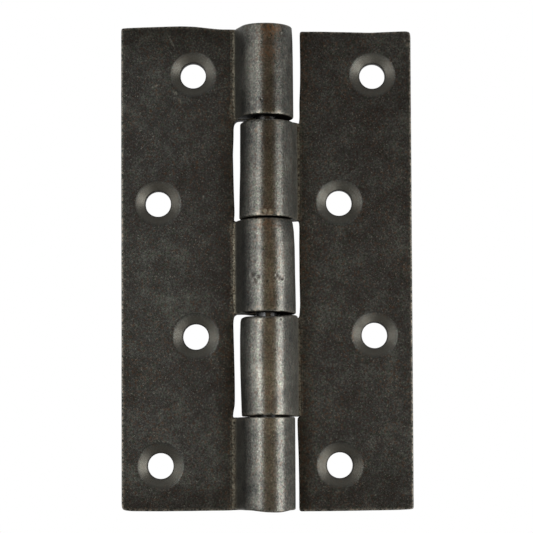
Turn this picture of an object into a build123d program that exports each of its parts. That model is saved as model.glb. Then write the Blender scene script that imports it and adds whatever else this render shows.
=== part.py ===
import math
import os

from build123d import *

# Butt hinge of rolled steel strip, laid open flat. The pin stands along Z through the origin,
# the three-knuckle leaf lies to -X, the two-knuckle leaf to +X, and both screw down on the +Y side.

# strip and pin
sheet = 3.2  # thickness of the strip that both leaves are made of
pin_diameter = 4.8
grip_clearance = 0.02  # on the radius, where the three-knuckle leaf holds the pin
running_clearance = 0.06  # on the radius, where the two-knuckle leaf turns on it

# leaves
first_length = 101.6  # three-knuckle leaf, along the pin
second_length = 100.6  # two-knuckle leaf
first_reach = 30.6  # from the pin's axis to the free edge
second_reach = 30.4
leaf_corner = 0.6  # radius of the leaf's outer corners
edge_break = 0.3  # worn edges of the strip

# knuckles
end_knuckle = 19.7  # the two outer knuckles
middle_knuckle = 19.4
knuckle_drop = 0.35  # of the knuckles' middle below the three-knuckle leaf's
end_play = 1.2  # slack of the two-knuckle leaf along the pin
seat_gap = 0.25  # left of that slack below its knuckles, which rest on the ones under them
first_notch = 7.0  # from the pin's axis to the bottom of the knuckle windows
second_notch = 6.65
upper_notch = 7.0  # the same at the two-knuckle leaf's ends
lower_notch = 6.3
notch_corner = 0.9
first_seam = 6.85  # from the pin's axis to where the rolled strip ends on the leaf
second_seam = 6.5
seam_gap = 0.2  # left open between the strip's end and the leaf
lip_round = 0.5  # outer corner of the strip's end

# screw holes, four to a leaf in a zigzag
hole_diameter = 5.5
sink_diameter = 9.3
sink_angle = 90
row_pitch = 27.4
inner_row = 15.3  # from the pin's axis
outer_row = 22.6
first_rows_drop = 0.6  # of the three-knuckle leaf's holes below its middle
second_rows_rise = 0.1  # of the two-knuckle leaf's holes above its middle

# pin ends
pin_break = 0.5  # upper end, level with its knuckle
head_diameter = 6.0  # lower end, closed over the knuckle
head_height = 0.4
head_break = 0.25

# what follows from them
first_bore = pin_diameter / 2 + grip_clearance
second_bore = pin_diameter / 2 + running_clearance
window = (first_length - 2 * end_knuckle - middle_knuckle) / 2
turning_knuckle = window - end_play
upper_window = (middle_knuckle + window) / 2 - knuckle_drop  # heights of the windows' middles
lower_window = -(middle_knuckle + window) / 2 - knuckle_drop
between = middle_knuckle + end_play  # from one turning knuckle to the next
second_drop = knuckle_drop + end_play / 2 - seat_gap
through = 2 * (pin_diameter + sheet)  # cuts run this far, past all of the strip
first_face = Plane(origin=(0, first_bore, 0), x_dir=(1, 0, 0), z_dir=(0, -1, 0))
second_face = Plane(origin=(0, second_bore, -second_drop), x_dir=(1, 0, 0), z_dir=(0, -1, 0))


def rolled_section(plane, bore, reach, seam, side):
    """The strip in section: flat leaf, roll round the pin, lip back down onto the leaf."""
    outer = bore + sheet
    lip_level = bore - seam_gap
    # the lip leaves the roll on the tangent that lands at the seam
    leave = math.atan2(lip_level, seam) - math.acos(outer / math.hypot(seam, lip_level))
    outer_leave = (side * outer * math.cos(leave), outer * math.sin(leave))
    inner_leave = (side * bore * math.cos(leave), bore * math.sin(leave))
    lip_tip = (side * seam, lip_level)
    lip_heel = (side * (bore - lip_level * math.sin(leave)) / math.cos(leave), lip_level)
    with BuildSketch(plane) as section:
        with BuildLine():
            Polyline((0, bore), (side * reach, bore), (side * reach, outer), (0, outer))
            ThreePointArc((0, outer), (-side * outer, 0), (0, -outer))
            RadiusArc((0, -outer), outer_leave, -side * outer)
            Polyline(outer_leave, lip_tip, lip_heel, inner_leave)
            RadiusArc(inner_leave, (0, -bore), side * bore)
            ThreePointArc((0, -bore), (-side * bore, 0), (0, bore))
        make_face()
        fillet(section.vertices().sort_by_distance(plane.from_local_coords(lip_tip))[0], lip_round)
    return section.sketch


with BuildPart() as three_knuckle_leaf:
    add(rolled_section(Plane.XY, first_bore, first_reach, first_seam, -1))
    extrude(amount=first_length / 2, both=True)
    with BuildSketch(first_face) as windows:
        with Locations((-first_notch, upper_window), (-first_notch, lower_window)):
            Rectangle(first_notch + through, window, align=(Align.MIN, Align.CENTER))
        fillet(windows.vertices().group_by(Axis.X)[0], notch_corner)
    extrude(amount=-through, mode=Mode.SUBTRACT)
    with BuildSketch(first_face):
        with Locations((0, upper_window), (0, lower_window)):
            Rectangle(2 * through, window)
    extrude(amount=through, mode=Mode.SUBTRACT)
    corners = three_knuckle_leaf.edges().filter_by(Axis.Y).group_by(Axis.Z)
    fillet(corners[0] + corners[-1], leaf_corner)
    chamfer(three_knuckle_leaf.faces().filter_by(Axis.Z).edges(), edge_break)
    with Locations(first_face):
        with Locations(
            (-inner_row, 1.5 * row_pitch - first_rows_drop),
            (-outer_row, 0.5 * row_pitch - first_rows_drop),
            (-inner_row, -0.5 * row_pitch - first_rows_drop),
            (-outer_row, -1.5 * row_pitch - first_rows_drop),
        ):
            CounterSinkHole(hole_diameter / 2, sink_diameter / 2, through, sink_angle)
three_knuckle_leaf.part.label = "three_knuckle_leaf"

with BuildPart() as two_knuckle_leaf:
    add(rolled_section(Plane.XY.offset(-second_drop), second_bore, second_reach, second_seam, 1))
    extrude(amount=second_length / 2, both=True)
    with BuildSketch(second_face) as notches:
        with Locations((second_notch, 0)):
            Rectangle(second_notch + through, between, align=(Align.MAX, Align.CENTER))
        with Locations((upper_notch, between / 2 + turning_knuckle)):
            Rectangle(upper_notch + through, second_length / 2, align=(Align.MAX, Align.MIN))
        with Locations((lower_notch, -between / 2 - turning_knuckle)):
            Rectangle(lower_notch + through, second_length / 2, align=(Align.MAX, Align.MAX))
        fillet(notches.vertices().filter_by(lambda corner: corner.X > 0), notch_corner)
    extrude(amount=-through, mode=Mode.SUBTRACT)
    with BuildSketch(second_face):
        Rectangle(2 * through, between)
        with Locations((0, between / 2 + turning_knuckle)):
            Rectangle(2 * through, second_length / 2, align=(Align.CENTER, Align.MIN))
        with Locations((0, -between / 2 - turning_knuckle)):
            Rectangle(2 * through, second_length / 2, align=(Align.CENTER, Align.MAX))
    extrude(amount=through, mode=Mode.SUBTRACT)
    corners = two_knuckle_leaf.edges().filter_by(Axis.Y).group_by(Axis.Z)
    fillet(corners[0] + corners[-1], leaf_corner)
    chamfer(two_knuckle_leaf.faces().filter_by(Axis.Z).edges(), edge_break)
    with Locations(second_face):
        with Locations(
            (outer_row, second_rows_rise + 1.5 * row_pitch),
            (inner_row, second_rows_rise + 0.5 * row_pitch),
            (outer_row, second_rows_rise - 0.5 * row_pitch),
            (inner_row, second_rows_rise - 1.5 * row_pitch),
        ):
            CounterSinkHole(hole_diameter / 2, sink_diameter / 2, through, sink_angle)
two_knuckle_leaf.part.label = "two_knuckle_leaf"

with BuildPart() as hinge_pin:
    with BuildSketch(Plane.XY.offset(-first_length / 2)):
        Circle(pin_diameter / 2)
    extrude(amount=first_length)
    chamfer(hinge_pin.edges().group_by(Axis.Z)[-1], pin_break)
    with BuildSketch(Plane.XY.offset(-first_length / 2)):
        Circle(head_diameter / 2)
    extrude(amount=-head_height)
    chamfer(hinge_pin.edges().group_by(Axis.Z)[0], head_break)
hinge_pin.part.label = "hinge_pin"

os.makedirs("parts", exist_ok=True)
export_step(three_knuckle_leaf.part, "parts/three_knuckle_leaf.step")
export_step(two_knuckle_leaf.part, "parts/two_knuckle_leaf.step")
export_step(hinge_pin.part, "parts/hinge_pin.step")
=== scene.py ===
import math

import bmesh
import bpy
import numpy as np
from mathutils import Matrix, Vector


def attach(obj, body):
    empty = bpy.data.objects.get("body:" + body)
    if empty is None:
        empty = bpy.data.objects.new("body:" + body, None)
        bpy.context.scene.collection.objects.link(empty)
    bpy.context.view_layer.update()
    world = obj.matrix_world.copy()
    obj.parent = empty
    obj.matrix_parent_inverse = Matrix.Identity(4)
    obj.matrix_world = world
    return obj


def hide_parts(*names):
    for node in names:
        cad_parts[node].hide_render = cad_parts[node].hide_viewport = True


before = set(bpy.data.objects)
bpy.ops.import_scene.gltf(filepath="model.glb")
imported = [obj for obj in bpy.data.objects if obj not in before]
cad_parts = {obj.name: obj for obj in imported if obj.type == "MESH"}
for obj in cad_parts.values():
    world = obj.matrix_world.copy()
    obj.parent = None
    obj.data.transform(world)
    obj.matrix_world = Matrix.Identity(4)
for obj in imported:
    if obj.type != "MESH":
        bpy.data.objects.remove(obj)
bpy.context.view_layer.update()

mm = 0.001
hair, speck = 1e-4, 1e-6  # mm: nearer than a hair is the same grid line, than a speck the same point
scene = bpy.context.scene
print("frame loaded:", sorted(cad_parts))


def linearColour(hexText):
    srgb = [int(hexText[k:k + 2], 16) / 255 for k in (1, 3, 5)]
    return tuple(c / 12.92 if c <= 0.04045 else ((c + 0.055) / 1.055) ** 2.4 for c in srgb) + (1.0,)


def addNode(tree, kind, links=None, **settings):
    node = tree.nodes.new(kind if "Node" in kind else "ShaderNode" + kind)
    for name, value in settings.items():
        setattr(node, name, value)
    for socket, source in (links or {}).items():
        if isinstance(source, bpy.types.Node):  # a node stands for its first live output
            source = next(output for output in source.outputs if output.enabled)
        if isinstance(source, bpy.types.NodeSocket):
            tree.links.new(source, node.inputs[socket])
        else:
            node.inputs[socket].default_value = source
    return node


def perMillimetre(size):  # texture scale whose features are about that many mm across
    return 1 / (size * mm)


def setRamp(ramp, *stops):  # stops: position and hex colour
    elements = ramp.color_ramp.elements
    for _ in stops[2:]:
        elements.new(0.5)
    for element, (position, hexText) in zip(elements, stops):
        element.position, element.color = position, linearColour(hexText)


def heightRamp(tree, height, tones):  # tones: height in mm and hex colour, from the lowest up
    lowest, highest = tones[0][0], tones[-1][0]
    share = addNode(tree, "MapRange", {"Value": height, "From Min": lowest * mm, "From Max": highest * mm})
    ramp = addNode(tree, "ValToRGB", {0: share})
    setRamp(ramp, *[((z - lowest) / (highest - lowest), tone) for z, tone in tones])
    return ramp


def emptyTree(owner):  # node tree of a new material or world
    owner.use_nodes = True
    owner.node_tree.nodes.clear()
    return owner.node_tree


def waveAt(values, wave):  # wave: pairs of place and amount, with straight lines between them
    return np.interp(values, *zip(*wave))


# Rolled steel strip, blackened by its mill scale and age: a dark skin, speckled olive, grey and brown at
# under half a millimetre, rubbed to a paler, grainy satin on the barrel and bare along worn edges.
leafSteel = {
    "scale": "#1b1816", "skin": "#28292a", "bare": "#424645",  # darkest skin, most of it, where it is thin
    "barrelSkin": "#41413f", "barrelBare": "#5d5d59",
    "olive": "#e8f2d9", "plain": "#fffdfa", "brown": "#f7dccb",  # tints of the skin
    "rust": "#413528", "stain": "#523a22", "fleck": "#7b7c74",
    "rubbed": "#7b766b",  # worn edges
    "burr": "#87867a",  # the strip's end and the leaf beside it: bare cut steel with a painted highlight along the seam
    "sink": "#4c4a44", "sinkShare": 0.6,  # turned by the countersink's cutter
    "shade": "#9a9286",  # painted shade of the skin beside the barrel; the same colour darkens the skin along the free edges and towards the ends
    "pit": "#1b1714", "pitShare": 0.7,  # dirt in the barrel's dents
    "grime": "#0d0b0a",  # in the gaps, on the sheared sides, and painted shade along the countersinks' upper rims
    # name, size in mm, detail, roughness, seed
    "noises": [("mottle", 0.4, 3.0, 0.55, 0.0), ("hue", 0.6, 3.0, 0.6, 5.1), ("grain", 0.28, 2.0, 0.55, 2.3),
               ("cloud", 14.0, 4.0, 0.6, 7.7), ("patch", 6.0, 5.0, 0.68, 3.7),
               ("blotch", 2.4, 2.0, 0.5, 9.2)],
    "tone": {"mottle": 0.65, "blotch": 0.32, "cloud": 0.42},  # what lightens and darkens the skin
    # the leaf's and the barrel's skin: three colours, spread of tones that runs through them
    "skins": [("scale", "skin", "bare", 0.23), ("skin", "barrelSkin", "barrelBare", 0.18)], "bareLag": 0.02,
    "tintStops": (0.36, 0.5, 0.64), "barrelTint": 0.7,
    # painted sheen on the barrel's sides: their skin is brightened by this gain and made rougher
    "paintedFlankSheen": 1.7, "flankRough": 0.6,
    "flanks": [(3.4, 5.0, 1.0), (-4.2, -5.4, 0.5)],  # barrel's sides with painted sheen: from x to x in mm, share
    # how light each knuckle's skin is, from the lowest up: height in mm, grey
    "knuckleTones": [(-41, "#f5f5f5"), (-21, "#fefefe"), (-1, "#f6f6f6"), (20, "#e2e2e2"), (40, "#fefefe")],
    # rust: noises that make it, range of them that shows, most of it, and what the seam adds
    "rustMix": {"patch": 0.55, "hue": 0.9}, "rustRange": (0.77, 1.0), "rustMost": 0.5, "barrelRust": 0.5,
    "seamRust": 0.1, "rustyBand": 4.0,  # mm
    "fleckRange": (0.6, 0.74), "fleckMost": 0.32,
    # what breaks up stains, worn edges, burrs and scratches: noise, range of it
    "breaks": [("stain", "hue", 0.38, 0.56), ("wear", "hue", 0.42, 0.62), ("burr", "mottle", 0.36, 0.62),
               ("scratch", "mottle", 0.3, 0.6)],
    "flatRough": 0.48, "barrelRough": 0.29, "sinkRough": 0.42, "grimeRough": 0.7,
    "roughSwing": 0.14, "stainRough": 0.15,  # added to those
    "flatRelief": 0.010, "barrelRelief": 0.017, "toolRelief": 0.012, "toolMark": 0.16,  # mm
    "mottleRelief": 1.2, "sinkRelief": 0.5,  # mottle against grain, and how much of both the cutter left
    "barrelRadius": 5.66, "barrelFade": (1.12, 1.01),  # mm, and the shares of it where the barrel's skin ends
    "leafFace": 2.3, "proudFade": 0.4, "seam": 6.85,  # mm
    # faint scratches on the leaves: two ends (x, z), half width in mm, share
    "scratches": [((-20.7, 48.9), (-19.2, 46.0), 0.12, 0.17), ((-19.5, 36.9), (-18.9, 36.3), 0.16, 0.34),
                  ((-18.3, 35.2), (-17.9, 34.3), 0.16, 0.26), ((-23.8, 37.75), (-23.0, 38.1), 0.15, 0.24),
                  ((14.2, 12.0), (16.9, 10.8), 0.1, 0.3), ((29.0, 47.6), (29.7, 46.4), 0.2, 0.35)],
    "scratchLevel": 2.44, "scratchFade": 2,  # y of the leaves' faces in mm, half widths to nothing
    # rust stains on the barrel: place, reach in mm, share
    "stains": [((0.9, -5.5, 48.8), 3.4, 0.9), ((0.4, -5.6, 43.5), 3.0, 0.5), ((0.0, -5.6, 8.9), 3.2, 0.4)],
    # dents in the barrel: place, reach and depth in mm, how bright they are rubbed
    "dents": [((-2.6, -4.98, -3.7), 0.85, 0.09, 0.0), ((-3.1, -4.7, -2.4), 0.95, 0.09, 0.0),
              ((-1.9, -5.28, -2.9), 0.7, 0.08, 0.0), ((2.5, -5.03, -3.0), 0.9, 0.05, 0.0),
              ((1.9, -5.3, -2.7), 0.5, 0.04, 0.0), ((3.1, -4.69, -3.2), 0.6, 0.06, 0.0),
              ((0.0, -5.62, -3.8), 0.5, 0.04, 0.0), ((2.8, -4.9, -11.6), 0.4, 0.04, 0.0),
              ((-1.15, -5.5, 33.8), 0.42, 0.04, 0.0), ((-0.5, -5.6, 10.5), 0.7, 0.05, 1.0),
              ((0.65, -5.58, 10.4), 0.7, 0.05, 0.9), ((3.3, -4.55, 47.7), 0.45, 0.03, 0.8)],
}


def makeLeafSteel(p):
    material = bpy.data.materials.new("blackened_rolled_steel")
    tree = emptyTree(material)
    place = addNode(tree, "TexCoord").outputs["Object"]
    noise = {}
    for name, size, detail, rough, seed in p["noises"]:
        noise[name] = addNode(tree, "TexNoise", {
            "Vector": place, "W": seed, "Scale": perMillimetre(size), "Detail": detail, "Roughness": rough},
            noise_dimensions="4D")
    mark = {name: addNode(tree, "Attribute", attribute_name=name).outputs["Fac"]
            for name in ("rim", "sink", "burr", "grime", "ring", "shade")}
    broken = {}
    for name, source, low, high in p["breaks"]:
        broken[name] = addNode(tree, "MapRange", {"Value": noise[source], "From Min": low, "From Max": high})

    # the barrel, by distance from the pin's axis
    across = addNode(tree, "VectorMath", {0: place, 1: (1.0, 1.0, 0.0)}, operation="MULTIPLY")
    fromAxis = addNode(tree, "VectorMath", {0: across}, operation="LENGTH")
    outer, inner = (p["barrelRadius"] * share * mm for share in p["barrelFade"])
    barrel = addNode(tree, "MapRange", {"Value": fromAxis, "From Min": outer, "From Max": inner},
                     interpolation_type="SMOOTHSTEP")
    sides = addNode(tree, "SeparateXYZ", {0: place}).outputs
    proud = addNode(tree, "MapRange", {
        "Value": sides[1], "From Min": p["leafFace"] * mm, "From Max": (p["leafFace"] - p["proudFade"]) * mm})
    barrel = addNode(tree, "Math", {0: barrel, 1: proud}, operation="MAXIMUM")

    # skin: mottle, lifted and lowered by the broad clouds, tinted in speckles
    tone = 0.5 - sum(p["tone"].values()) / 2
    for name, share in p["tone"].items():
        tone = addNode(tree, "Math", {0: noise[name], 1: share, 2: tone}, operation="MULTIPLY_ADD")
    skins = []
    for low, middle, high, spread in p["skins"]:
        ramp = addNode(tree, "ValToRGB", {0: tone})
        setRamp(ramp, (0.5 - spread, p[low]), (0.5, p[middle]), (0.5 + p["bareLag"] + spread, p[high]))
        skins.append(ramp)
    knuckleTone = heightRamp(tree, sides[2], p["knuckleTones"])
    # painted sheen: the barrel's skin brightened on its sides
    flank = 0.0
    for start, end, share in p["flanks"]:
        beyond = addNode(tree, "MapRange", {
            "Value": sides[0], "From Min": start * mm, "From Max": end * mm, "To Max": share})
        flank = addNode(tree, "Math", {0: flank, 1: beyond}, operation="MAXIMUM")
    gain = addNode(tree, "MapRange", {"Value": flank, "To Min": 1.0, "To Max": p["paintedFlankSheen"]})
    barrelSkinAndSheen = addNode(tree, "VectorMath", {0: skins[1], "Scale": gain}, operation="SCALE")
    barrelSkinAndSheen = addNode(tree, "Mix", {0: 1.0, 6: barrelSkinAndSheen, 7: knuckleTone},
                         data_type="RGBA", blend_type="MULTIPLY")
    colour = addNode(tree, "Mix", {0: barrel, 6: skins[0], 7: barrelSkinAndSheen}, data_type="RGBA")
    tint = addNode(tree, "ValToRGB", {0: noise["hue"]})
    setRamp(tint, *zip(p["tintStops"], (p["olive"], p["plain"], p["brown"])))
    tinted = addNode(tree, "MapRange", {"Value": barrel, "To Min": 1.0, "To Max": p["barrelTint"]})
    colour = addNode(tree, "Mix", {0: tinted, 6: colour, 7: tint}, data_type="RGBA", blend_type="MULTIPLY")

    # rust: specks everywhere, patches here and there, most of it beside the seam
    aside = addNode(tree, "Math", {0: sides[0]}, operation="ABSOLUTE")
    beside = addNode(tree, "MapRange", {
        "Value": aside, "From Min": (p["seam"] + p["rustyBand"]) * mm, "From Max": p["seam"] * mm,
        "To Max": p["seamRust"]})
    offBarrel = addNode(tree, "Math", {0: 1.0, 1: barrel}, operation="SUBTRACT")
    rusty = addNode(tree, "Math", {0: beside, 1: offBarrel}, operation="MULTIPLY")
    for name, share in p["rustMix"].items():
        rusty = addNode(tree, "Math", {0: noise[name], 1: share, 2: rusty}, operation="MULTIPLY_ADD")
    rusty = addNode(tree, "MapRange", {
        "Value": rusty, "From Min": p["rustRange"][0], "From Max": p["rustRange"][1],
        "To Max": p["rustMost"]})
    rustable = addNode(tree, "MapRange", {"Value": barrel, "To Min": 1.0, "To Max": p["barrelRust"]})
    rusty = addNode(tree, "Math", {0: rusty, 1: rustable}, operation="MULTIPLY")
    fleck = addNode(tree, "MapRange", {
        "Value": noise["grain"], "From Min": p["fleckRange"][0], "From Max": p["fleckRange"][1],
        "To Max": p["fleckMost"]})
    stained = 0.0
    for spot, reach, share in p["stains"]:
        off = addNode(tree, "VectorMath", {0: place, 1: Vector(spot) * mm}, operation="DISTANCE")
        near = addNode(tree, "MapRange", {
            "Value": off, "From Min": reach * mm, "From Max": 0.0, "To Max": share})
        stained = addNode(tree, "Math", {0: stained, 1: near}, operation="MAXIMUM")
    stained = addNode(tree, "Math", {0: stained, 1: broken["stain"]}, operation="MULTIPLY")
    for share, finish in ((rusty, "rust"), (fleck, "fleck"), (stained, "stain")):
        colour = addNode(tree, "Mix", {0: share, 6: colour, 7: linearColour(p[finish])}, data_type="RGBA")
    # painted shade beside the barrel, and darker skin along the free edges and towards the ends
    colour = addNode(tree, "Mix", {0: mark["shade"], 6: colour, 7: linearColour(p["shade"])},
                     data_type="RGBA", blend_type="MULTIPLY")

    # countersinks, worn edges, the cut end at the seam with its painted highlight
    turned = addNode(tree, "Math", {0: mark["sink"], 1: p["sinkShare"]}, operation="MULTIPLY")
    worn = addNode(tree, "Math", {0: mark["rim"], 1: broken["wear"]}, operation="MULTIPLY")
    cut = addNode(tree, "Math", {0: mark["burr"], 1: broken["burr"]}, operation="MULTIPLY")

    # scratches and dents
    bright, dark, pitted = 0.0, 0.0, 0.0
    for start, end, width, share in p["scratches"]:
        run = Vector((end[0] - start[0], 0, end[1] - start[1])) * mm
        origin = Vector((start[0], p["scratchLevel"], start[1])) * mm
        toStart = addNode(tree, "VectorMath", {0: place, 1: origin}, operation="SUBTRACT")
        along = addNode(tree, "VectorMath", {0: toStart, 1: run / run.length_squared},
                        operation="DOT_PRODUCT")
        along = addNode(tree, "Clamp", {"Value": along})
        foot = addNode(tree, "VectorMath", {0: run, "Scale": along}, operation="SCALE")
        off = addNode(tree, "VectorMath", {0: toStart, 1: foot}, operation="DISTANCE")
        line = addNode(tree, "MapRange", {
            "Value": off, "From Min": width * p["scratchFade"] * mm, "From Max": 0.0, "To Max": share})
        bright = addNode(tree, "Math", {0: bright, 1: line}, operation="MAXIMUM")
    for spot, reach, depth, rubbed in p["dents"]:
        off = addNode(tree, "VectorMath", {0: place, 1: Vector(spot) * mm}, operation="DISTANCE")
        near = addNode(tree, "MapRange", {"Value": off, "From Min": reach * mm, "From Max": 0.0},
                       interpolation_type="SMOOTHSTEP")
        pitted = addNode(tree, "Math", {0: near, 1: -depth, 2: pitted}, operation="MULTIPLY_ADD")
        if rubbed:
            near = addNode(tree, "Math", {0: near, 1: rubbed}, operation="MULTIPLY")
            bright = addNode(tree, "Math", {0: bright, 1: near}, operation="MAXIMUM")
        else:
            dark = addNode(tree, "Math", {0: dark, 1: near}, operation="MAXIMUM")
    bright = addNode(tree, "Math", {0: bright, 1: broken["scratch"]}, operation="MULTIPLY")
    dark = addNode(tree, "Math", {0: dark, 1: p["pitShare"]}, operation="MULTIPLY")
    for share, finish in ((turned, "sink"), (worn, "rubbed"), (cut, "burr"), (bright, "fleck"), (dark, "pit"),
                          (mark["grime"], "grime")):
        colour = addNode(tree, "Mix", {0: share, 6: colour, 7: linearColour(p[finish])}, data_type="RGBA")

    rough = addNode(tree, "MapRange", {"Value": barrel, "To Min": p["flatRough"], "To Max": p["barrelRough"]})
    matt = addNode(tree, "Math", {0: flank, 1: barrel}, operation="MULTIPLY")
    rough = addNode(tree, "Mix", {0: matt, 2: rough, 3: p["flankRough"]}, data_type="FLOAT")
    rough = addNode(tree, "Mix", {0: mark["sink"], 2: rough, 3: p["sinkRough"]}, data_type="FLOAT")
    rough = addNode(tree, "Math", {0: noise["hue"], 1: p["roughSwing"], 2: rough}, operation="MULTIPLY_ADD")
    rough = addNode(tree, "Math", {0: rough, 1: p["roughSwing"] / 2}, operation="SUBTRACT")
    rough = addNode(tree, "Math", {0: stained, 1: p["stainRough"], 2: rough}, operation="MULTIPLY_ADD")
    rough = addNode(tree, "Mix", {0: mark["grime"], 2: rough, 3: p["grimeRough"]}, data_type="FLOAT")

    # relief in mm: grainy skin, deeper on the barrel, tool marks round the countersinks, dents
    deep = addNode(tree, "MapRange", {
        "Value": barrel, "To Min": p["flatRelief"], "To Max": p["barrelRelief"]})
    smooth = addNode(tree, "MapRange", {"Value": mark["sink"], "To Min": 1.0, "To Max": p["sinkRelief"]})
    deep = addNode(tree, "Math", {0: deep, 1: smooth}, operation="MULTIPLY")
    peel = addNode(tree, "Math", {0: noise["mottle"], 1: p["mottleRelief"], 2: noise["grain"]},
                   operation="MULTIPLY_ADD")
    relief = addNode(tree, "Math", {0: peel, 1: deep, 2: pitted}, operation="MULTIPLY_ADD")
    rings = addNode(tree, "TexNoise", {"W": mark["ring"], "Scale": 1 / p["toolMark"], "Detail": 1.0},
                    noise_dimensions="1D")
    rings = addNode(tree, "Math", {0: rings, 1: mark["sink"]}, operation="MULTIPLY")
    relief = addNode(tree, "Math", {0: rings, 1: p["toolRelief"], 2: relief}, operation="MULTIPLY_ADD")
    bump = addNode(tree, "Bump", {"Strength": 1.0, "Distance": mm, "Height": relief})

    shader = addNode(tree, "BsdfPrincipled", {
        "Base Color": colour, "Metallic": 1.0, "Roughness": rough, "Normal": bump})
    addNode(tree, "OutputMaterial", {"Surface": shader})
    return material


leafMaterial = makeLeafSteel(leafSteel)
print("leaf steel made")


# Drawn steel wire: dark, with fine lengthwise streaks, brown where it sits in the knuckles.
pinSteel = {
    "wire": "#303132", "dark": "#191817", "rust": "#25201b",
    "streak": 0.25, "streakLength": 6.0, "streakDetail": 3.0, "streakStops": (0.34, 0.6),  # lengths in mm
    "patch": 1.6, "patchDetail": 5.0, "patchRough": 0.65,  # mm
    "rustRange": (0.45, 0.7), "rustMost": 0.6,
    "rough": 0.14, "roughSwing": 0.25, "relief": 0.02, "patchRelief": 1.5,
}


def makePinSteel(p):
    material = bpy.data.materials.new("drawn_steel_wire")
    tree = emptyTree(material)
    place = addNode(tree, "TexCoord").outputs["Object"]
    stretch = (1.0, 1.0, p["streak"] / p["streakLength"])
    stretched = addNode(tree, "Mapping", {"Vector": place, "Scale": stretch})
    streak = addNode(tree, "TexNoise", {
        "Vector": stretched, "Scale": perMillimetre(p["streak"]), "Detail": p["streakDetail"]})
    patch = addNode(tree, "TexNoise", {
        "Vector": place, "Scale": perMillimetre(p["patch"]), "Detail": p["patchDetail"],
        "Roughness": p["patchRough"]})
    ramp = addNode(tree, "ValToRGB", {0: streak})
    setRamp(ramp, *zip(p["streakStops"], (p["dark"], p["wire"])))
    rusty = addNode(tree, "MapRange", {
        "Value": patch, "From Min": p["rustRange"][0], "From Max": p["rustRange"][1],
        "To Max": p["rustMost"]})
    colour = addNode(tree, "Mix", {0: rusty, 6: ramp, 7: linearColour(p["rust"])}, data_type="RGBA")
    rough = addNode(tree, "Math", {0: patch, 1: p["roughSwing"], 2: p["rough"]}, operation="MULTIPLY_ADD")
    relief = addNode(tree, "Math", {0: patch, 1: p["patchRelief"], 2: streak}, operation="MULTIPLY_ADD")
    bump = addNode(tree, "Bump", {"Strength": 1.0, "Distance": p["relief"] * mm, "Height": relief})
    shader = addNode(tree, "BsdfPrincipled", {
        "Base Color": colour, "Metallic": 1.0, "Roughness": rough, "Normal": bump})
    addNode(tree, "OutputMaterial", {"Surface": shader})
    return material


pinMaterial = makePinSteel(pinSteel)
print("pin steel made")


# Leaves, in mm. A leaf starts as a flat punched blank: p runs across it from the free edge, past 0 where
# the roll begins, to the end of the tongues; w through the strip, from the countersunk face; z along the pin.
threeKnuckleLeaf = {
    "name": "three_knuckle_leaf_rolled", "node": "three_knuckle_leaf", "body": "first_leaf",
    "side": -1, "strip": 3.2, "bore": 2.42, "reach": 30.6, "top": 50.8, "bottom": -50.8,
    "tongues": [(-50.8, -31.45), (-10.05, 9.35), (30.75, 50.8)], "notch": 7.0,
    "seam": 6.85, "burr": [0.45, 1.0, 0.8],  # how much of the burr and its painted highlight shows on each tongue, from the lowest up
    "holes": [(15.3, 40.5), (22.6, 13.1), (15.3, -14.3), (22.6, -41.7)],
    "holeShift": [(0.15, -0.12), (0.22, 0.12), (-0.34, -0.37), (-0.28, 0.24)],  # punched a little off
    # how far the sheared ends stand back, by distance from the axis
    "topWave": [(-40, 0.84), (-16, 0.88), (-13, 0.97), (-8, 1.0), (0, 0.95), (5, 0.86), (7, 0.75), (10, 0.7),
                (15, 0.1), (18, 0.0), (26, 0.2), (31, 0.4)],
    "bottomWave": [(-15, 0.27), (-13.5, -0.03), (-12, -0.13), (-10, -0.15), (-9.4, 0.27), (6, 0.2), (8, 0.1),
                   (14, 0.05), (22, 0.0), (28, 0.05), (31, 0.2)],
    # the same by height, for the free edge, the windows' walls and the far side of the roll
    "edgeWave": [(-50.8, 0.22), (0.0, 0.12), (30.0, 0.03), (50.8, 0.0)],
    "notchWave": [(-31.5, 0.3), (-29.8, 0.1), (-29.0, -0.15), (-24.0, -0.15), (-16.7, 0.0), (-11.7, 0.13),
                  (-10.0, 0.0), (9.3, 0.0), (11.0, -0.23), (16.0, -0.08), (23.7, 0.09), (27.0, -0.06),
                  (30.7, -0.1)],
    "rollWave": [(-50.8, 0.0), (-31.4, 0.0), (-10.0, -0.3), (-3.0, -0.2), (4.0, -0.1), (7.0, 0.06),
                 (8.6, 0.28), (9.35, 0.55), (30.7, 0.0), (36.0, 0.03), (42.0, 0.05), (47.0, 0.12),
                 (49.5, 0.25), (50.5, 0.45)],
    "topCorner": 0.5, "bottomCorner": 1.05, "notchCorners": [0.3, 0.95, 0.6, 1.3],  # from the lowest up
    # rise of each tongue's upper end and lip, drop of the lower ends: they close the gaps behind the pin
    "gapSkew": [[(-40, 0.0)], [(-40, 0.0)], [(-40, 0.0)]], "lipRise": [0.0, 0.0, 0.0],
    "footSkew": [(-12.5, 0.0), (-9, 0.1), (-6, 0.28), (3.4, 0.28), (4.6, 0.05), (6.8, 0.0)],
    "notchLean": 0.0,  # of the windows' walls, away at the back
    # how far painted shade darkens the skin beside the barrel, by height; how far the skin darkens at the
    # free edge and at the bottom and top
    "paintedShadeByBarrel": [(-33, 0.46), (-30, 0.75), (-12, 0.75), (-9, 0.08), (7.5, 0.08), (10.5, 0.48),
                    (29.5, 0.48), (32, 0.3)],
    "edgeShade": 0.15, "endShades": (0.5, 0.62), "endFade": 9.5,
    "seed": 11.0,
}
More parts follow.
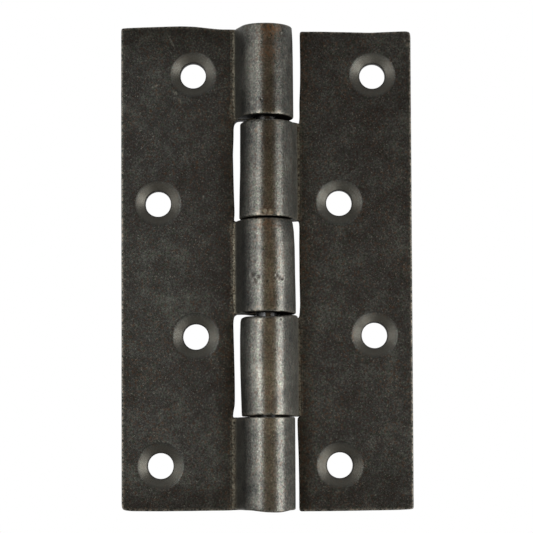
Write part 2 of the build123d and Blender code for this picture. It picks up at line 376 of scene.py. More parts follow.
twoKnuckleLeaf = {
    "name": "two_knuckle_leaf_rolled", "node": "two_knuckle_leaf", "body": "second_leaf",
    "side": 1, "strip": 3.2, "bore": 2.46, "reach": 30.4, "top": 49.6, "bottom": -51.0,
    "tongues": [(-31.2, -11.0), (9.6, 29.8)], "notch": 6.65,
    "seam": 6.5, "burr": [0.42, 0.42],
    "holes": [(22.6, 40.5), (15.3, 13.1), (22.6, -14.3), (15.3, -41.7)],
    "holeShift": [(-0.36, -0.37), (-0.23, 0.17), (-0.31, -0.22), (-0.44, 0.24)],
    "topWave": [(-40, 0.0), (7, 0.06), (12, 0.1), (22, 0.35), (29, 0.08), (31, 0.06)],
    "bottomWave": [(-40, 0.0), (8, 0.06), (14, 0.1), (20, 0.17), (27, 0.26), (31, 0.46)],
    "edgeWave": [(-51.0, 0.37), (49.6, 0.0)],
    "notchWave": [(-51.0, -0.37), (-43.0, -0.4), (-39.4, -0.47), (-34.4, -0.63), (-31.6, -0.66), (-31.2, 0.0),
                  (-10.9, -0.14), (-8.5, 0.03), (-3.0, -0.05), (5.0, -0.06), (9.5, 0.0), (29.8, 0.0),
                  (31.0, 0.15), (34.0, 0.12), (38.0, 0.3), (42.0, 0.36), (47.0, 0.3), (49.6, 0.28)],
    "rollWave": [(-31.2, 0.19), (-25.0, 0.0), (-20.0, -0.1), (-15.0, -0.12), (-11.7, 0.0), (-11.0, 0.25),
                 (9.6, -0.2), (20.0, 0.02), (29.2, 0.06), (29.8, 0.25)],
    "topCorner": 0.95, "bottomCorner": 0.42, "notchCorners": [0.25, 0.6, 0.9, 0.2],
    "gapSkew": [[(-11.5, 0.0), (-10.4, 0.1), (-9.3, 0.1), (-8.7, 0.1), (-8.0, 0.05), (-6.4, -0.05),
                 (-5.4, 0.15), (-4.5, 0.45), (-3.4, 0.6), (0, 0.6), (5, 0.58), (6.6, 0.28), (7.4, 0.0)],
                [(-10.2, 0.0), (-9.3, -0.1), (-8.8, -0.12), (-8.0, -0.18), (-6.4, -0.25), (-4.8, -0.1),
                 (-3.3, 0.3), (-2, 0.55), (0, 0.6), (5, 0.58), (6.6, 0.28), (7.4, 0.0)]],
    "lipRise": [0.62, -0.1],
    "footSkew": [(-21, 0.2), (-18, 0.14), (-16, 0.05), (-13, 0.0), (-10, 0.08), (-8, 0.2), (6.6, 0.2),
                 (7.4, 0.0)],
    "notchLean": 0.3,
    "paintedShadeByBarrel": [(-33, 0.8), (-30, 0.4), (-12, 0.4), (-9, 0.3), (28, 0.3), (32, 0.02)],
    "edgeShade": 0.2, "endShades": (0.36, 0.1), "endFade": 22.0,
    "seed": 23.0,
}
blank = {
    "edgeRound": 0.36, "seamGap": 0.2, "pitch": 0.95,  # worn edges' radius, gap at the seam, grid cell
    # square grid round a hole: half width, cells to a side, rings between it and the countersink
    "patch": 6.0, "patchCells": 12, "patchRings": (0.66, 0.33),
    # the countersink is dished from its rim down to the slope, with painted shade along the rim's upper half
    "hole": 2.64, "sinkRim": 5.0, "sinkSlope": 33.0, "sinkEase": 0.26, "sinkFade": 0.95,
    "paintedRimShade": 0.3, "paintedRimShadeReach": 0.3,
    "sinkRings": [5.0, 4.9, 4.78, 4.63, 4.43, 4.16, 3.83, 3.45, 3.1, 2.9],
    # rings of the bore: wider than the hole by, below the countersink or short of the back, how clean, dirt
    "upperBore": [(0.04, 0.16, 0.7, 0.5), (0.0, 0.3, 0.5, 0.55)],
    "lowerBore": [(0.0, 0.5, 0.4, 0.55), (0.0, 0.22, 0.4, 0.5), (0.03, 0.07, 0.2, 0.2),
                  (0.14, 0.0, 0.0, 0.0)],
    "innerCorner": 0.5, "tongueCorner": 0.25, "support": (0.3, 0.75),  # grid lines kept close to corners
    # corners wider than that have the grid eased round them, as far as that and in so many rounds
    "wideCorner": 0.8, "easeReach": 2.6, "easeRounds": 8,
    # rim: turns of the rounded edge in degrees with their wear, lines down the cut side, wear there
    "rimTurns": [(25, 0.6), (50, 1.0), (75, 0.8), (90, 0.5)], "sideLine": 0.3, "sideWear": 0.25,
    # wear on the face beside the rim, share of the rim's wear in the gaps, save on sides that face down
    "faceWear": 0.2, "gapWear": 0.6, "faceDown": -0.5,
    # share of the rounding that the gaps' grime spares, grime on the rest, how far from the ends gaps start
    "rimClean": 0.8, "rimSmudge": 0.5, "endMargin": 0.5,
    # grid lines about the seam, with the most that shows of the burr and its painted highlight, and how
    # uneven it is
    "burrLines": (-0.35, 0.0, 0.3, 0.62), "burrShares": (0.3, 1.0, 0.8, 0.35), "burrUneven": (0.4, 1.0),
    "burrSeed": 4, "burrFrom": 0.2, "outerBurr": 0.7,  # on the strip's end from that w on, on the face beyond
    # how far uneven shears, skews, shifted holes and shade fade into the leaf, and where shade starts
    "waveFade": 4.2, "notchFade": 3.5, "edgeFade": 5.0, "skewFade": 6.0, "shiftFade": 2.0,
    "shadeFade": 4.8, "shadeStart": 3.0,
    "lipShape": [(-21.0, 1.0), (-18.5, 0.9), (-16.0, 0.55), (-14.0, 0.12), (-13.0, 0.0)],
}


def gridLines(stops, patches, pitch, cells):
    stops = sorted(set(round(s, 5) for s in stops))
    spans = list(zip(stops, stops[1:]))
    counts = [max(1, round((b - a) / pitch)) for a, b in spans]
    for low, high in patches:
        inside = [k for k, (a, b) in enumerate(spans) if a > low - hair and b < high + hair]
        longest = max(inside, key=lambda k: spans[k][1] - spans[k][0])
        counts[longest] += cells - sum(counts[k] for k in inside)
    lines = [stops[0]]
    for (a, b), n in zip(spans, counts):
        lines += [a + (b - a) * (k + 1) / n for k in range(n)]
    return lines


def rollSizes(leaf):
    outer = leaf["bore"] + leaf["strip"]
    lipLevel = leaf["bore"] - blank["seamGap"]
    leave = math.atan2(lipLevel, leaf["seam"]) - math.acos(outer / math.hypot(leaf["seam"], lipLevel))
    wrap = 1.5 * math.pi + leave  # three quarters of a turn and on to the lip
    middle = leaf["bore"] + leaf["strip"] / 2
    lipLength = (middle * math.cos(wrap) - lipLevel) / math.sin(wrap)
    return {"wrap": wrap, "middle": middle, "lipLevel": lipLevel, "lipLength": lipLength,
            "rollLength": middle * wrap}


def holeWall(strip):  # rings of a countersunk hole: radius, depth, how far the cutter cleaned it, dirt
    wall, down = [], 0.0
    rings, rim = blank["sinkRings"], blank["sinkRim"]
    for k, radius in enumerate(rings):
        if k:
            middle = rim - (rings[k - 1] + radius) / 2
            slope = blank["sinkSlope"] * (1 - math.exp(-middle / blank["sinkEase"]))
            down += (rings[k - 1] - radius) * math.tan(math.radians(slope))
        wall.append((radius, down, min(1.0, (rim - radius) / blank["sinkFade"]), 0.0))
    hole = blank["hole"]
    wall += [(hole + out, down + below, turned, dirt) for out, below, turned, dirt in blank["upperBore"]]
    wall += [(hole + out, strip - short, turned, dirt) for out, short, turned, dirt in blank["lowerBore"]]
    return wall


def cutBlank(leaf):
    r, half = blank["edgeRound"], leaf["strip"] / 2
    roll = rollSizes(leaf)
    tip = -(roll["rollLength"] + roll["lipLength"]) + r
    shoulder, free = leaf["notch"] + r, leaf["reach"] - r
    low, high = leaf["bottom"] + r, leaf["top"] - r
    tongues = [(a + r, b - r) for a, b in leaf["tongues"]]
    notchEdges = [(edge, out) for t in tongues for edge, out in zip(t, (-1, 1)) if low < edge < high]
    across = sorted({p for p, z in leaf["holes"]})
    close, size = blank["support"], blank["patch"]
    pStops = [tip, -roll["rollLength"], 0.0, shoulder, shoulder + close[0], free - close[0], free]
    pStops += [leaf["seam"] + s for s in blank["burrLines"]] + [p + s * size for p in across for s in (-1, 1)]
    pLines = gridLines(pStops, [(p - size, p + size) for p in across], blank["pitch"], blank["patchCells"])
    zStops = [low, low + close[0], high - close[0], high] + [z for t in tongues for z in t]
    zStops += [edge + out * c for edge, out in notchEdges for c in close]
    zStops += [z + s * size for p, z in leaf["holes"] for s in (-1, 1)]
    zLines = gridLines(zStops, [(z - size, z + size) for p, z in leaf["holes"]], blank["pitch"],
                       blank["patchCells"])

    cells = {}  # grid cell: number of the hole whose patch it lies in, or None
    for i in range(len(pLines) - 1):
        for j in range(len(zLines) - 1):
            p, z = (pLines[i] + pLines[i + 1]) / 2, (zLines[j] + zLines[j + 1]) / 2
            if p < shoulder and not any(a < z < b for a, b in tongues):
                continue
            near = [k for k, (hp, hz) in enumerate(leaf["holes"]) if max(abs(p - hp), abs(z - hz)) < size]
            cells[i, j] = near[0] if near else None

    corners = []  # point, the two edges that leave it, radius
    for a, b in tongues:
        for edge, out in ((a, -1), (b, 1)):
            corners.append(((tip, edge), (1, 0), (0, -out), blank["tongueCorner"]))
    for (edge, out), radius in zip(notchEdges, leaf["notchCorners"]):
        corners.append(((shoulder, edge), (-1, 0), (0, out), radius + r))
    for edge, out, corner in ((low, -1, "bottomCorner"), (high, 1, "topCorner")):
        corners.append(((free, edge), (-1, 0), (0, -out), leaf[corner] - r))
        if not any(edge in t for t in tongues):
            corners.append(((shoulder, edge), (1, 0), (0, -out), blank["innerCorner"] - r))

    flat = {}
    for i, j in cells:
        for key in ((i, j), (i + 1, j), (i, j + 1), (i + 1, j + 1)):
            flat[key] = np.array((pLines[key[0]], zLines[key[1]]))
    for key, place in flat.items():
        for point, along, aside, radius in corners:
            offset = place - np.array(point)
            a, b = float(offset @ along), float(offset @ aside)
            if abs(min(a, b)) > speck or max(a, b) >= radius:
                continue
            turn = math.radians(90 + 45 * (1 - max(a, b) / radius))
            ends = (radius + radius * math.cos(turn), radius - radius * math.sin(turn))
            a, b = ends if a >= b else ends[::-1]
            flat[key] = np.array(point) + a * np.array(along) + b * np.array(aside)

    # outline of the blank, walked with the steel on the left
    after = {}
    for i, j in cells:
        around = [(i, j), (i + 1, j), (i + 1, j + 1), (i, j + 1)]
        for k, beyond in enumerate([(i, j - 1), (i + 1, j), (i, j + 1), (i - 1, j)]):
            if beyond not in cells:
                after[around[k]] = around[(k + 1) % len(around)]
    outline = [next(iter(after))]
    while after[outline[-1]] != outline[0]:
        outline.append(after[outline[-1]])
    onEdge = set(outline)
    wide = [np.array(c[0]) for c in corners if c[3] > blank["wideCorner"]]
    for _ in range(blank["easeRounds"]):  # ease the grid round the wide corners
        moved = {}
        for key, place in flat.items():
            byCorner = any(np.hypot(*(place - corner)) < blank["easeReach"] for corner in wide)
            if key in onEdge or not byCorner:
                continue
            i, j = key
            ring = [flat[n] for n in ((i + 1, j), (i - 1, j), (i, j + 1), (i, j - 1)) if n in flat]
            moved[key] = sum(ring) / len(ring)
        flat.update(moved)

    points, faces = [], []
    marks = {"rim": [], "sink": [], "burr": [], "grime": [], "ring": []}

    def addPoint(p, w, z, **given):
        points.append((p, w, z))
        for name, values in marks.items():
            values.append(given.get(name, 0.0))
        return len(points) - 1

    def burrAt(z):  # how much of the burr shows on that tongue
        return next((share for (a, b), share in zip(tongues, leaf["burr"]) if a <= z <= b), 0.0)

    uneven = np.random.default_rng(blank["burrSeed"])
    sheets = []
    for face in (-half, half):
        number = {}
        for (i, j), hole in cells.items():
            if hole is not None:
                continue
            for key in ((i, j), (i + 1, j), (i, j + 1), (i + 1, j + 1)):
                if key not in number:
                    cut = 0.0
                    for line, share in zip(blank["burrLines"], blank["burrShares"]):
                        if face < 0 and abs(pLines[key[0]] - leaf["seam"] - line) < hair:
                            cut = burrAt(zLines[key[1]]) * share * uneven.uniform(*blank["burrUneven"])
                    worn = blank["faceWear"] if key in onEdge else 0.0
                    number[key] = addPoint(flat[key][0], face, flat[key][1], rim=worn, burr=cut)
            faces.append([number[i, j], number[i + 1, j], number[i + 1, j + 1], number[i, j + 1]])
        sheets.append(number)

    # worn rim round the outline: quarter round, cut side, quarter round
    quarter = []
    for turn, worn in blank["rimTurns"]:
        sine, cosine = math.sin(math.radians(turn)), math.cos(math.radians(turn))
        quarter.append((sine * r, -half + r - cosine * r, worn))
    cutSide = [(r, sign * half * blank["sideLine"], blank["sideWear"]) for sign in (-1, 1)]
    profile = quarter + cutSide + [(out, -w, worn) for out, w, worn in reversed(quarter)]
    rings = []
    for k, key in enumerate(outline):
        back, here, ahead = flat[outline[k - 1]], flat[key], flat[outline[(k + 1) % len(outline)]]
        sides = []
        for a, b in ((back, here), (here, ahead)):
            step = (b - a) / np.hypot(*(b - a))
            sides.append(np.array((step[1], -step[0])))
        out = (sides[0] + sides[1]) / (1 + float(sides[0] @ sides[1]))  # mitred
        atTip = key[0] == 0
        inGap = not atTip and here[0] < shoulder + speck
        inGap = inGap and low + blank["endMargin"] < here[1] < high - blank["endMargin"]
        rubbed = blank["gapWear"] if inGap and out[1] >= blank["faceDown"] else 1.0
        ring = [sheets[0][key]]
        for reach, w, worn in profile:
            spot = here + out * reach
            dirt = 0.0
            if inGap and reach >= r * blank["rimClean"]:
                dirt = blank["rimSmudge"] if reach < r else 1.0
            cut = burrAt(here[1]) if atTip and w > blank["burrFrom"] else 0.0
            ring.append(addPoint(spot[0], w, spot[1], rim=worn * rubbed, grime=dirt, burr=cut))
        ring.append(sheets[1][key])
        if atTip:
            marks["burr"][sheets[1][key]] = blank["outerBurr"] * burrAt(here[1])
        rings.append(ring)
    for a, b in zip(rings, rings[1:] + rings[:1]):
        for k in range(len(a) - 1):
            faces.append([a[k], a[k + 1], b[k + 1], b[k]])

    # holes: square patch, countersink, bore
    wall = holeWall(leaf["strip"])
    for hp, hz in leaf["holes"]:
        iLow, iHigh = (min(range(len(pLines)), key=lambda k: abs(pLines[k] - hp - s * size)) for s in (-1, 1))
        jLow, jHigh = (min(range(len(zLines)), key=lambda k: abs(zLines[k] - hz - s * size)) for s in (-1, 1))
        square = [(i, jLow) for i in range(iLow, iHigh)] + [(iHigh, j) for j in range(jLow, jHigh)]
        square += [(i, jHigh) for i in range(iHigh, iLow, -1)] + [(iLow, j) for j in range(jHigh, jLow, -1)]
        turns = [math.atan2(flat[key][1] - hz, flat[key][0] - hp) for key in square]
        loops = [[sheets[0][key] for key in square]]
        inwards = blank["patchRings"]
        for face, radius, shares in ((-half, wall[0][0], inwards), (half, wall[-1][0], inwards[::-1])):
            between = []
            for share in shares:
                between.append([])
                for key, t in zip(square, turns):
                    rim = np.array((hp + radius * math.cos(t), hz + radius * math.sin(t)))
                    spot = (1 - share) * rim + share * flat[key]
                    between[-1].append(addPoint(spot[0], face, spot[1]))
            loops += between
            if face < 0:
                for radius, down, turned, dirt in wall:
                    # painted shade along the rim's upper half, which faces down
                    edge = blank["paintedRimShade"] if 0 < turned < blank["paintedRimShadeReach"] else 0.0
                    loops.append([addPoint(hp + radius * math.cos(t), -half + down, hz + radius * math.sin(t),
                                           sink=turned, ring=radius, grime=max(dirt, edge * math.sin(t)))
                                  for t in turns])
        loops.append([sheets[1][key] for key in square])
        for a, b in zip(loops, loops[1:]):
            for k in range(len(a)):
                faces.append([a[k], a[k - 1], b[k - 1], b[k]])

    # uneven shears: heights and walls shifted a little, fading into the leaf
    points = np.array(points)

    def fade(distance):
        near = np.clip(1 - distance, 0, 1)
        return near * near * (3 - 2 * near)

    p, z = points[:, 0].copy(), points[:, 2].copy()
    onLeaf = np.clip(p / blank["shadeStart"], 0, 1)  # none on the tongues
    # painted shade on the front face beside the barrel; darker skin at the free edge and towards the ends
    beside = waveAt(z, leaf["paintedShadeByBarrel"]) * fade((p - leaf["notch"]) / blank["shadeFade"]) * onLeaf
    atEdge = leaf["edgeShade"] * fade((leaf["reach"] - p) / blank["shadeFade"])
    atEnd = [share * fade(np.abs(z - end) / leaf["endFade"]) * onLeaf
             for share, end in zip(leaf["endShades"], (leaf["bottom"], leaf["top"]))]
    front = np.clip(0.5 - points[:, 1] / leaf["strip"], 0, 1)
    marks["shade"] = np.maximum.reduce([beside, atEdge, *atEnd]) * front
    for (bottom, top), skew, lip in zip(leaf["tongues"], leaf["gapSkew"], leaf["lipRise"]):
        rise = waveAt(p, skew) + lip * waveAt(p, blank["lipShape"])
        points[:, 2] += rise * fade((top - z) / blank["skewFade"]) * (z <= top + speck)
        if bottom > leaf["bottom"]:
            drop = waveAt(p, leaf["footSkew"])
            points[:, 2] -= drop * fade((z - bottom) / blank["skewFade"]) * (z >= bottom - speck)
    for (hp, hz), (dp, dz) in zip(leaf["holes"], leaf["holeShift"]):
        near = fade((np.hypot(p - hp, z - hz) - blank["sinkRim"]) / blank["shiftFade"])
        points[:, 0] += dp * near
        points[:, 2] += dz * near
    points[:, 2] -= waveAt(p, leaf["topWave"]) * fade(np.abs(z - leaf["top"]) / blank["waveFade"])
    points[:, 2] += waveAt(p, leaf["bottomWave"]) * fade(np.abs(z - leaf["bottom"]) / blank["waveFade"])
    lean = leaf["notchLean"] * (points[:, 1] / leaf["strip"] + 0.5)
    wallShift = waveAt(z, leaf["notchWave"]) + lean
    points[:, 0] += wallShift * fade(np.abs(p - leaf["notch"]) / blank["notchFade"])
    points[:, 0] -= waveAt(z, leaf["edgeWave"]) * fade((leaf["reach"] - p) / blank["edgeFade"])

    mesh = bpy.data.meshes.new(leaf["name"] + "_blank")
    mesh.from_pydata((points * mm).tolist(), [], faces)
    for name, values in marks.items():
        layer = mesh.attributes.new(name, "FLOAT", "POINT")
        layer.data.foreach_set("value", np.array(values, dtype=np.float32))
    return mesh


rolling = {"Subdivision": 1, "Unevenness": 0.07 * mm, "Unevenness Size": 7.0 * mm}
dips = {"Detail": 3.0, "Roughness": 0.6}  # noise that makes the unevenness


# Rolls a blank's tongues round the pin: arc as far as the wrap angle, then straight to the seam.
def makeRollTree():
    tree = bpy.data.node_groups.new("rollTongues", "GeometryNodeTree")
    tree.is_modifier = True
    sockets = {}
    for name, kind in (("Blank", "Geometry"), ("Side", "Float"), ("Middle Radius", "Float"),
                       ("Wrap Angle", "Float"), ("Lip Level", "Float"), ("Lip Length", "Float"),
                       ("Subdivision", "Int"), ("Unevenness", "Float"), ("Unevenness Size", "Float"),
                       ("Seed", "Float"), ("Steel", "Material")):
        made = tree.interface.new_socket(name=name, in_out="INPUT", socket_type="NodeSocket" + kind)
        sockets[name] = made.identifier
    tree.interface.new_socket(name="Leaf", in_out="OUTPUT", socket_type="NodeSocketGeometry")
    given = addNode(tree, "NodeGroupInput").outputs
    side, middle, wrap = given["Side"], given["Middle Radius"], given["Wrap Angle"]
    fine = addNode(tree, "GeometryNodeSubdivisionSurface", {
        "Mesh": given["Blank"], "Level": given["Subdivision"]})
    flat = addNode(tree, "SeparateXYZ", {0: addNode(tree, "GeometryNodeInputPosition")}).outputs
    radius = addNode(tree, "Math", {0: middle, 1: flat[1]}, operation="ADD")
    past = addNode(tree, "Math", {0: flat[0], 1: -1.0}, operation="MULTIPLY")  # length past the roll's start
    turn = addNode(tree, "Math", {0: past, 1: middle}, operation="DIVIDE")
    turn = addNode(tree, "Math", {0: turn, 1: 0.0}, operation="MAXIMUM")
    turn = addNode(tree, "Math", {0: turn, 1: wrap}, operation="MINIMUM")
    sine = addNode(tree, "Math", {0: turn}, operation="SINE")
    cosine = addNode(tree, "Math", {0: turn}, operation="COSINE")
    onRollX = addNode(tree, "Math", {0: radius, 1: sine}, operation="MULTIPLY")
    onRollY = addNode(tree, "Math", {0: radius, 1: cosine}, operation="MULTIPLY")
    onLeaf = addNode(tree, "Math", {0: flat[0], 1: 0.0}, operation="MAXIMUM")
    # the lip, as a share of its length; the strip's end is cut level with the leaf
    rolled = addNode(tree, "Math", {0: middle, 1: wrap}, operation="MULTIPLY")
    onLip = addNode(tree, "Math", {0: past, 1: rolled}, operation="SUBTRACT")
    onLip = addNode(tree, "Math", {0: onLip, 1: 0.0}, operation="MAXIMUM")
    share = addNode(tree, "Math", {0: onLip, 1: given["Lip Length"]}, operation="DIVIDE")
    wrapSine = addNode(tree, "Math", {0: wrap}, operation="SINE")
    wrapCosine = addNode(tree, "Math", {0: wrap}, operation="COSINE")
    leaveY = addNode(tree, "Math", {0: radius, 1: wrapCosine}, operation="MULTIPLY")
    rise = addNode(tree, "Math", {0: given["Lip Level"], 1: leaveY}, operation="SUBTRACT")
    rise = addNode(tree, "Math", {0: rise, 1: share}, operation="MULTIPLY")
    slope = addNode(tree, "Math", {0: wrapCosine, 1: wrapSine}, operation="DIVIDE")
    run = addNode(tree, "Math", {0: rise, 1: slope}, operation="MULTIPLY")
    x = addNode(tree, "Math", {0: onLeaf, 1: onRollX}, operation="SUBTRACT")
    x = addNode(tree, "Math", {0: x, 1: run}, operation="ADD")
    x = addNode(tree, "Math", {0: x, 1: side}, operation="MULTIPLY")
    y = addNode(tree, "Math", {0: onRollY, 1: rise}, operation="ADD")
    place = addNode(tree, "CombineXYZ", {0: x, 1: y, 2: flat[2]})
    shaped = addNode(tree, "GeometryNodeSetPosition", {"Geometry": fine, "Position": place})
    # hammered and worn: dips only, so the leaf never grows
    where = addNode(tree, "GeometryNodeInputPosition")
    often = addNode(tree, "Math", {0: 1.0, 1: given["Unevenness Size"]}, operation="DIVIDE")
    dip = addNode(tree, "TexNoise", {
        "Vector": where, "W": given["Seed"], "Scale": often, **dips}, noise_dimensions="4D")
    dip = addNode(tree, "Math", {0: dip, 1: given["Unevenness"]}, operation="MULTIPLY")
    dip = addNode(tree, "Math", {0: dip, 1: -1.0}, operation="MULTIPLY")
    normal = addNode(tree, "GeometryNodeInputNormal")
    inward = addNode(tree, "VectorMath", {0: normal, "Scale": dip}, operation="SCALE")
    inward = addNode(tree, "VectorMath", {0: inward, 1: side}, operation="MULTIPLY")
    shaped = addNode(tree, "GeometryNodeSetPosition", {"Geometry": shaped, "Offset": inward})
    shaped = addNode(tree, "GeometryNodeSetShadeSmooth", {0: shaped})
    shaped = addNode(tree, "GeometryNodeRealizeInstances", {0: shaped})
    shaped = addNode(tree, "GeometryNodeSetMaterial", {"Geometry": shaped, "Material": given["Steel"]})
    addNode(tree, "NodeGroupOutput", {0: shaped})
    return tree, sockets


rollTree, rollSockets = makeRollTree()


def faceOutward(mesh):
    shell = bmesh.new()
    shell.from_mesh(mesh)
    bmesh.ops.recalc_face_normals(shell, faces=shell.faces)
    shell.to_mesh(mesh)
    shell.free()


def rollLeaf(leaf):
    mesh = cutBlank(leaf)
    faceOutward(mesh)
    piece = bpy.data.objects.new(leaf["name"] + "_blank", mesh)
    scene.collection.objects.link(piece)
    modifier = piece.modifiers.new("roll", "NODES")
    modifier.node_group = rollTree
    roll = rollSizes(leaf)
    values = dict(rolling, Side=float(leaf["side"]), Seed=leaf["seed"], Steel=leafMaterial)
    values["Middle Radius"], values["Wrap Angle"] = roll["middle"] * mm, roll["wrap"]
    values["Lip Level"], values["Lip Length"] = roll["lipLevel"] * mm, roll["lipLength"] * mm
    for name, value in values.items():
        modifier[rollSockets[name]] = value
    graph = bpy.context.evaluated_depsgraph_get()
    rolled = bpy.data.meshes.new_from_object(
        piece.evaluated_get(graph), preserve_all_data_layers=True, depsgraph=graph)
    bpy.data.objects.remove(piece)
    rolled.name = leaf["name"]
    faceOutward(rolled)

    # knuckles that aren't quite round: the far side of the roll stands in or out, the bore stays
    places = np.empty(len(rolled.vertices) * 3, dtype=np.float32)
    rolled.vertices.foreach_get("co", places)
    places = places.reshape(-1, 3)
    outer = (leaf["bore"] + leaf["strip"]) * mm
    stand = waveAt(places[:, 2] / mm, leaf["rollWave"]) * mm
    far = np.clip(-leaf["side"] * places[:, 0] / outer, 0, 1)
    outside = np.clip((np.hypot(places[:, 0], places[:, 1]) / mm - leaf["bore"]) / leaf["strip"], 0, 1)
    places[:, :2] *= (1 - stand * far * outside / outer)[:, None]
    rolled.vertices.foreach_set("co", places.ravel())
    rolled.update()
    return bpy.data.objects.new(leaf["name"], rolled)


for leaf in (threeKnuckleLeaf, twoKnuckleLeaf):
    piece = rollLeaf(leaf)
    scene.collection.objects.link(piece)
    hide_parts(leaf["node"])
    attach(piece, leaf["body"])
    print(leaf["name"], "triangles:", 2 * len(piece.data.polygons))


# Hinge pin: turned profile, its lower end hammered out over the knuckle
hingePin = {
    "name": "hinge_pin_wire", "radius": 2.4, "top": 50.0, "bottom": -50.5,
    "headRadius": 2.92, "headHeight": 0.18, "segments": 64, "rings": 12,
    # the head is out of round by that share, twice in a turn, from that much wider than the wire on
    "headUneven": 0.025, "headLobes": 2, "headTurn": 0.6, "headFrom": 0.05,
    "face": [(0.0, 0.0), (1.4, 0.0), (2.2, 0.01)],  # radius, up from the head's face
    "rim": [(0.22, 0.06), (0.05, 0.15), (0.0, 0.22)],  # in from the head's radius, up from its face
    "shoulder": [(0.06, -0.05), (0.3, 0.0)],  # in from the head's radius, up from the wire's end
    "neck": [(0.1, 0.02), (0.0, 0.12)],  # out from the wire, up from its end
    "upperEdge": [(0.0, 0.7), (0.06, 0.4), (0.3, 0.14), (0.7, 0.03)],  # in from the wire, down from its top
    "crown": [0.9, 0.0],  # radii at the top
}


def makePin(p):
    radius, head, down, length = p["radius"], p["headRadius"], -p["headHeight"], p["top"] - p["bottom"]
    profile = [(wide, down + rise) for wide, rise in p["face"]]
    profile += [(head - inward, down + rise) for inward, rise in p["rim"]]
    profile += [(head - inward, rise) for inward, rise in p["shoulder"]]
    profile += [(radius + out, rise) for out, rise in p["neck"]]
    profile += [(radius, length * k / p["rings"]) for k in range(1, p["rings"])]
    profile += [(radius - inward, length - short) for inward, short in p["upperEdge"]]
    profile += [(wide, length) for wide in p["crown"]]
    mesh = bmesh.new()
    rings = []
    for wide, rise in profile:
        z = (p["bottom"] + rise) * mm
        if wide == 0:
            rings.append([mesh.verts.new((0, 0, z))])
            continue
        ring = []
        for k in range(p["segments"]):
            turn = 2 * math.pi * k / p["segments"]
            spread = wide * mm
            if wide > radius + p["headFrom"]:
                spread *= 1 - p["headUneven"] * (1 - math.sin(p["headLobes"] * turn + p["headTurn"]))
            ring.append(mesh.verts.new((spread * math.cos(turn), spread * math.sin(turn), z)))
        rings.append(ring)
    for low, high in zip(rings, rings[1:]):
        for k in range(p["segments"]):
            corners = [low[k % len(low)], low[(k + 1) % len(low)],
                       high[(k + 1) % len(high)], high[k % len(high)]]
            mesh.faces.new(list(dict.fromkeys(corners)))
    bmesh.ops.recalc_face_normals(mesh, faces=mesh.faces)
    for face in mesh.faces:
        face.smooth = True
    made = bpy.data.meshes.new(p["name"])
    mesh.to_mesh(made)
    mesh.free()
    made.materials.append(pinMaterial)
    return bpy.data.objects.new(p["name"], made)


pin = makePin(hingePin)
scene.collection.objects.link(pin)
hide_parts("hinge_pin")
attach(pin, "first_leaf")
print("pin made")


# Studio: pale floor below the hinge, white all round, soft boxes on both hands, a low panel on the right
# and a warm board behind the camera
studio = {
    "floorLevel": -96.2, "floorHalf": 4000.0,  # mm
    "floor": "#e9e7e3", "shadowStart": 100.0, "shadowReach": 420.0, "shadowShare": 0.8,
    "fill": 0.3,
    # turn from the camera's line, distance, width, height, rise of the middle and of its aim, watts
    "lamps": {"soft_box_left": (-35.0, 270.0, 84.0, 145.0, 8.0, 8.0, 0.44),
              "side_panel_left": (-60.0, 270.0, 130.0, 160.0, 12.0, 12.0, 0.2),
              "soft_box_right": (54.0, 270.0, 130.0, 214.0, -52.0, -52.0, 0.9),
              "low_panel_right": (54.0, 84.0, 70.0, 40.0, -84.0, -20.0, 0.045)},
    "boardTones": [(85.0, "#e5c9a4"), (130.0, "#6c5844"), (190.0, "#4e3e30")],  # by height, mm
    "boardGlow": 2.5,
    "boardAway": 820.0, "boardSides": (-290.0, 590.0), "boardEnds": (-320.0, 440.0),
}


def seenWhite(tree):  # 1 for the camera, reflections and what shows through, 0 for light on the hinge
    path = addNode(tree, "LightPath").outputs
    seen = path["Is Camera Ray"]
    for ray in ("Is Glossy Ray", "Is Transmission Ray"):
        seen = addNode(tree, "Math", {0: seen, 1: path[ray]}, operation="MAXIMUM")
    return seen


def makeWorld(p):
    world = bpy.data.worlds.new("white_room")
    scene.world = world
    tree = emptyTree(world)
    strength = addNode(tree, "MapRange", {"Value": seenWhite(tree), "To Min": p["fill"], "To Max": 1.0})
    background = addNode(tree, "Background", {"Color": (1.0, 1.0, 1.0, 1.0), "Strength": strength})
    addNode(tree, "OutputWorld", {"Surface": background})


def makeFloor(p):
    level, half = p["floorLevel"] * mm, p["floorHalf"] * mm
    mesh = bpy.data.meshes.new("floor")
    corners = [(-half, -half, level), (half, -half, level), (half, half, level), (-half, half, level)]
    mesh.from_pydata(corners, [], [(0, 1, 2, 3)])
    floor = bpy.data.objects.new("floor", mesh)
    scene.collection.objects.link(floor)
    # matt white paint that fades into the white room
    material = bpy.data.materials.new("painted_studio_floor")
    tree = emptyTree(material)
    place = addNode(tree, "TexCoord").outputs["Object"]
    away = addNode(tree, "VectorMath", {0: place}, operation="LENGTH")
    share = addNode(tree, "MapRange", {
        "Value": away, "From Min": p["shadowStart"] * mm, "From Max": p["shadowReach"] * mm,
        "To Min": p["shadowShare"], "To Max": 0.0}, interpolation_type="SMOOTHSTEP")
    painted = addNode(tree, "Math", {0: 1.0, 1: share}, operation="SUBTRACT")
    white = addNode(tree, "Math", {0: seenWhite(tree), 1: painted}, operation="MULTIPLY")
    matt = addNode(tree, "BsdfDiffuse", {"Color": linearColour(p["floor"])})
    glow = addNode(tree, "Emission", {"Color": (1.0, 1.0, 1.0, 1.0), "Strength": 1.0})
    both = addNode(tree, "MixShader", {0: white, 1: matt, 2: glow})
    addNode(tree, "OutputMaterial", {"Surface": both})
    mesh.materials.append(material)


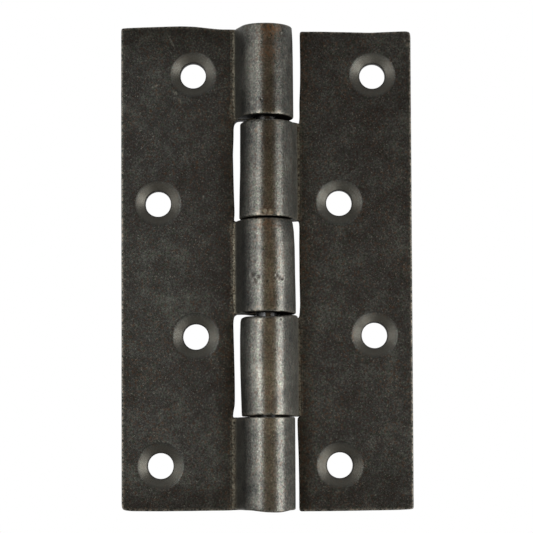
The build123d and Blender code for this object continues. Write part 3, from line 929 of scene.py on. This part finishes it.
def makeLamps(p):
    for name, (turn, away, wide, tall, rise, aim, watts) in p["lamps"].items():
        lamp = bpy.data.lights.new(name, "AREA")
        lamp.shape, lamp.size, lamp.size_y = "RECTANGLE", wide * mm, tall * mm
        lamp.energy = watts
        box = bpy.data.objects.new(name, lamp)
        angle = math.radians(turn)
        box.location = Vector((math.sin(angle) * away, -math.cos(angle) * away, rise)) * mm
        inward = Vector((0, 0, aim * mm)) - box.location
        box.rotation_euler = inward.to_track_quat("-Z", "Y").to_euler()
        box.visible_camera = False
        scene.collection.objects.link(box)


def makeBoard(p):
    y, (left, right), (low, high) = -p["boardAway"], p["boardSides"], p["boardEnds"]
    corners = [Vector(c) * mm for c in ((left, y, low), (left, y, high), (right, y, high), (right, y, low))]
    mesh = bpy.data.meshes.new("warm_board")
    mesh.from_pydata(corners, [], [(0, 1, 2, 3)])
    board = bpy.data.objects.new("warm_board", mesh)
    scene.collection.objects.link(board)
    material = bpy.data.materials.new("warm_board_paper")  # brown paper, lit from below
    tree = emptyTree(material)
    height = addNode(tree, "SeparateXYZ", {0: addNode(tree, "TexCoord").outputs["Object"]}).outputs[2]
    colour = heightRamp(tree, height, p["boardTones"])
    glow = addNode(tree, "Emission", {"Color": colour, "Strength": p["boardGlow"]})
    addNode(tree, "OutputMaterial", {"Surface": glow})
    mesh.materials.append(material)
    board.visible_camera = False


makeWorld(studio)
makeFloor(studio)
makeLamps(studio)
makeBoard(studio)
print("studio made")


# Camera: low in front of the leaves, as the photograph sees the upper knuckles from a little below
cameraView = {
    "away": 440.0, "below": 5.0, "roll": -0.27,  # mm, degrees
    "aim": (-0.18, 3.0, -0.1), "frameWide": 111.2,  # mm across the frame at the aim
    "sensor": 36.0, "clip": (0.01, 20.0),  # mm, m
}


def makeCamera(p):
    lens = bpy.data.cameras.new("photo_camera")
    lens.sensor_width = p["sensor"]
    lens.lens = lens.sensor_width * p["away"] / p["frameWide"]
    lens.clip_start, lens.clip_end = p["clip"]
    camera = bpy.data.objects.new("photo_camera", lens)
    tilt = math.radians(p["below"])
    back = Vector((0, -math.cos(tilt), -math.sin(tilt)))
    turn = (-back).to_track_quat("-Z", "Y").to_matrix() @ Matrix.Rotation(math.radians(p["roll"]), 3, "Z")
    camera.matrix_world = Matrix.Translation((Vector(p["aim"]) + back * p["away"]) * mm) @ turn.to_4x4()
    scene.collection.objects.link(camera)
    scene.camera = camera


makeCamera(cameraView)
scene.view_settings.view_transform = "Standard"
print("camera set")

bpy.context.view_layer.update()
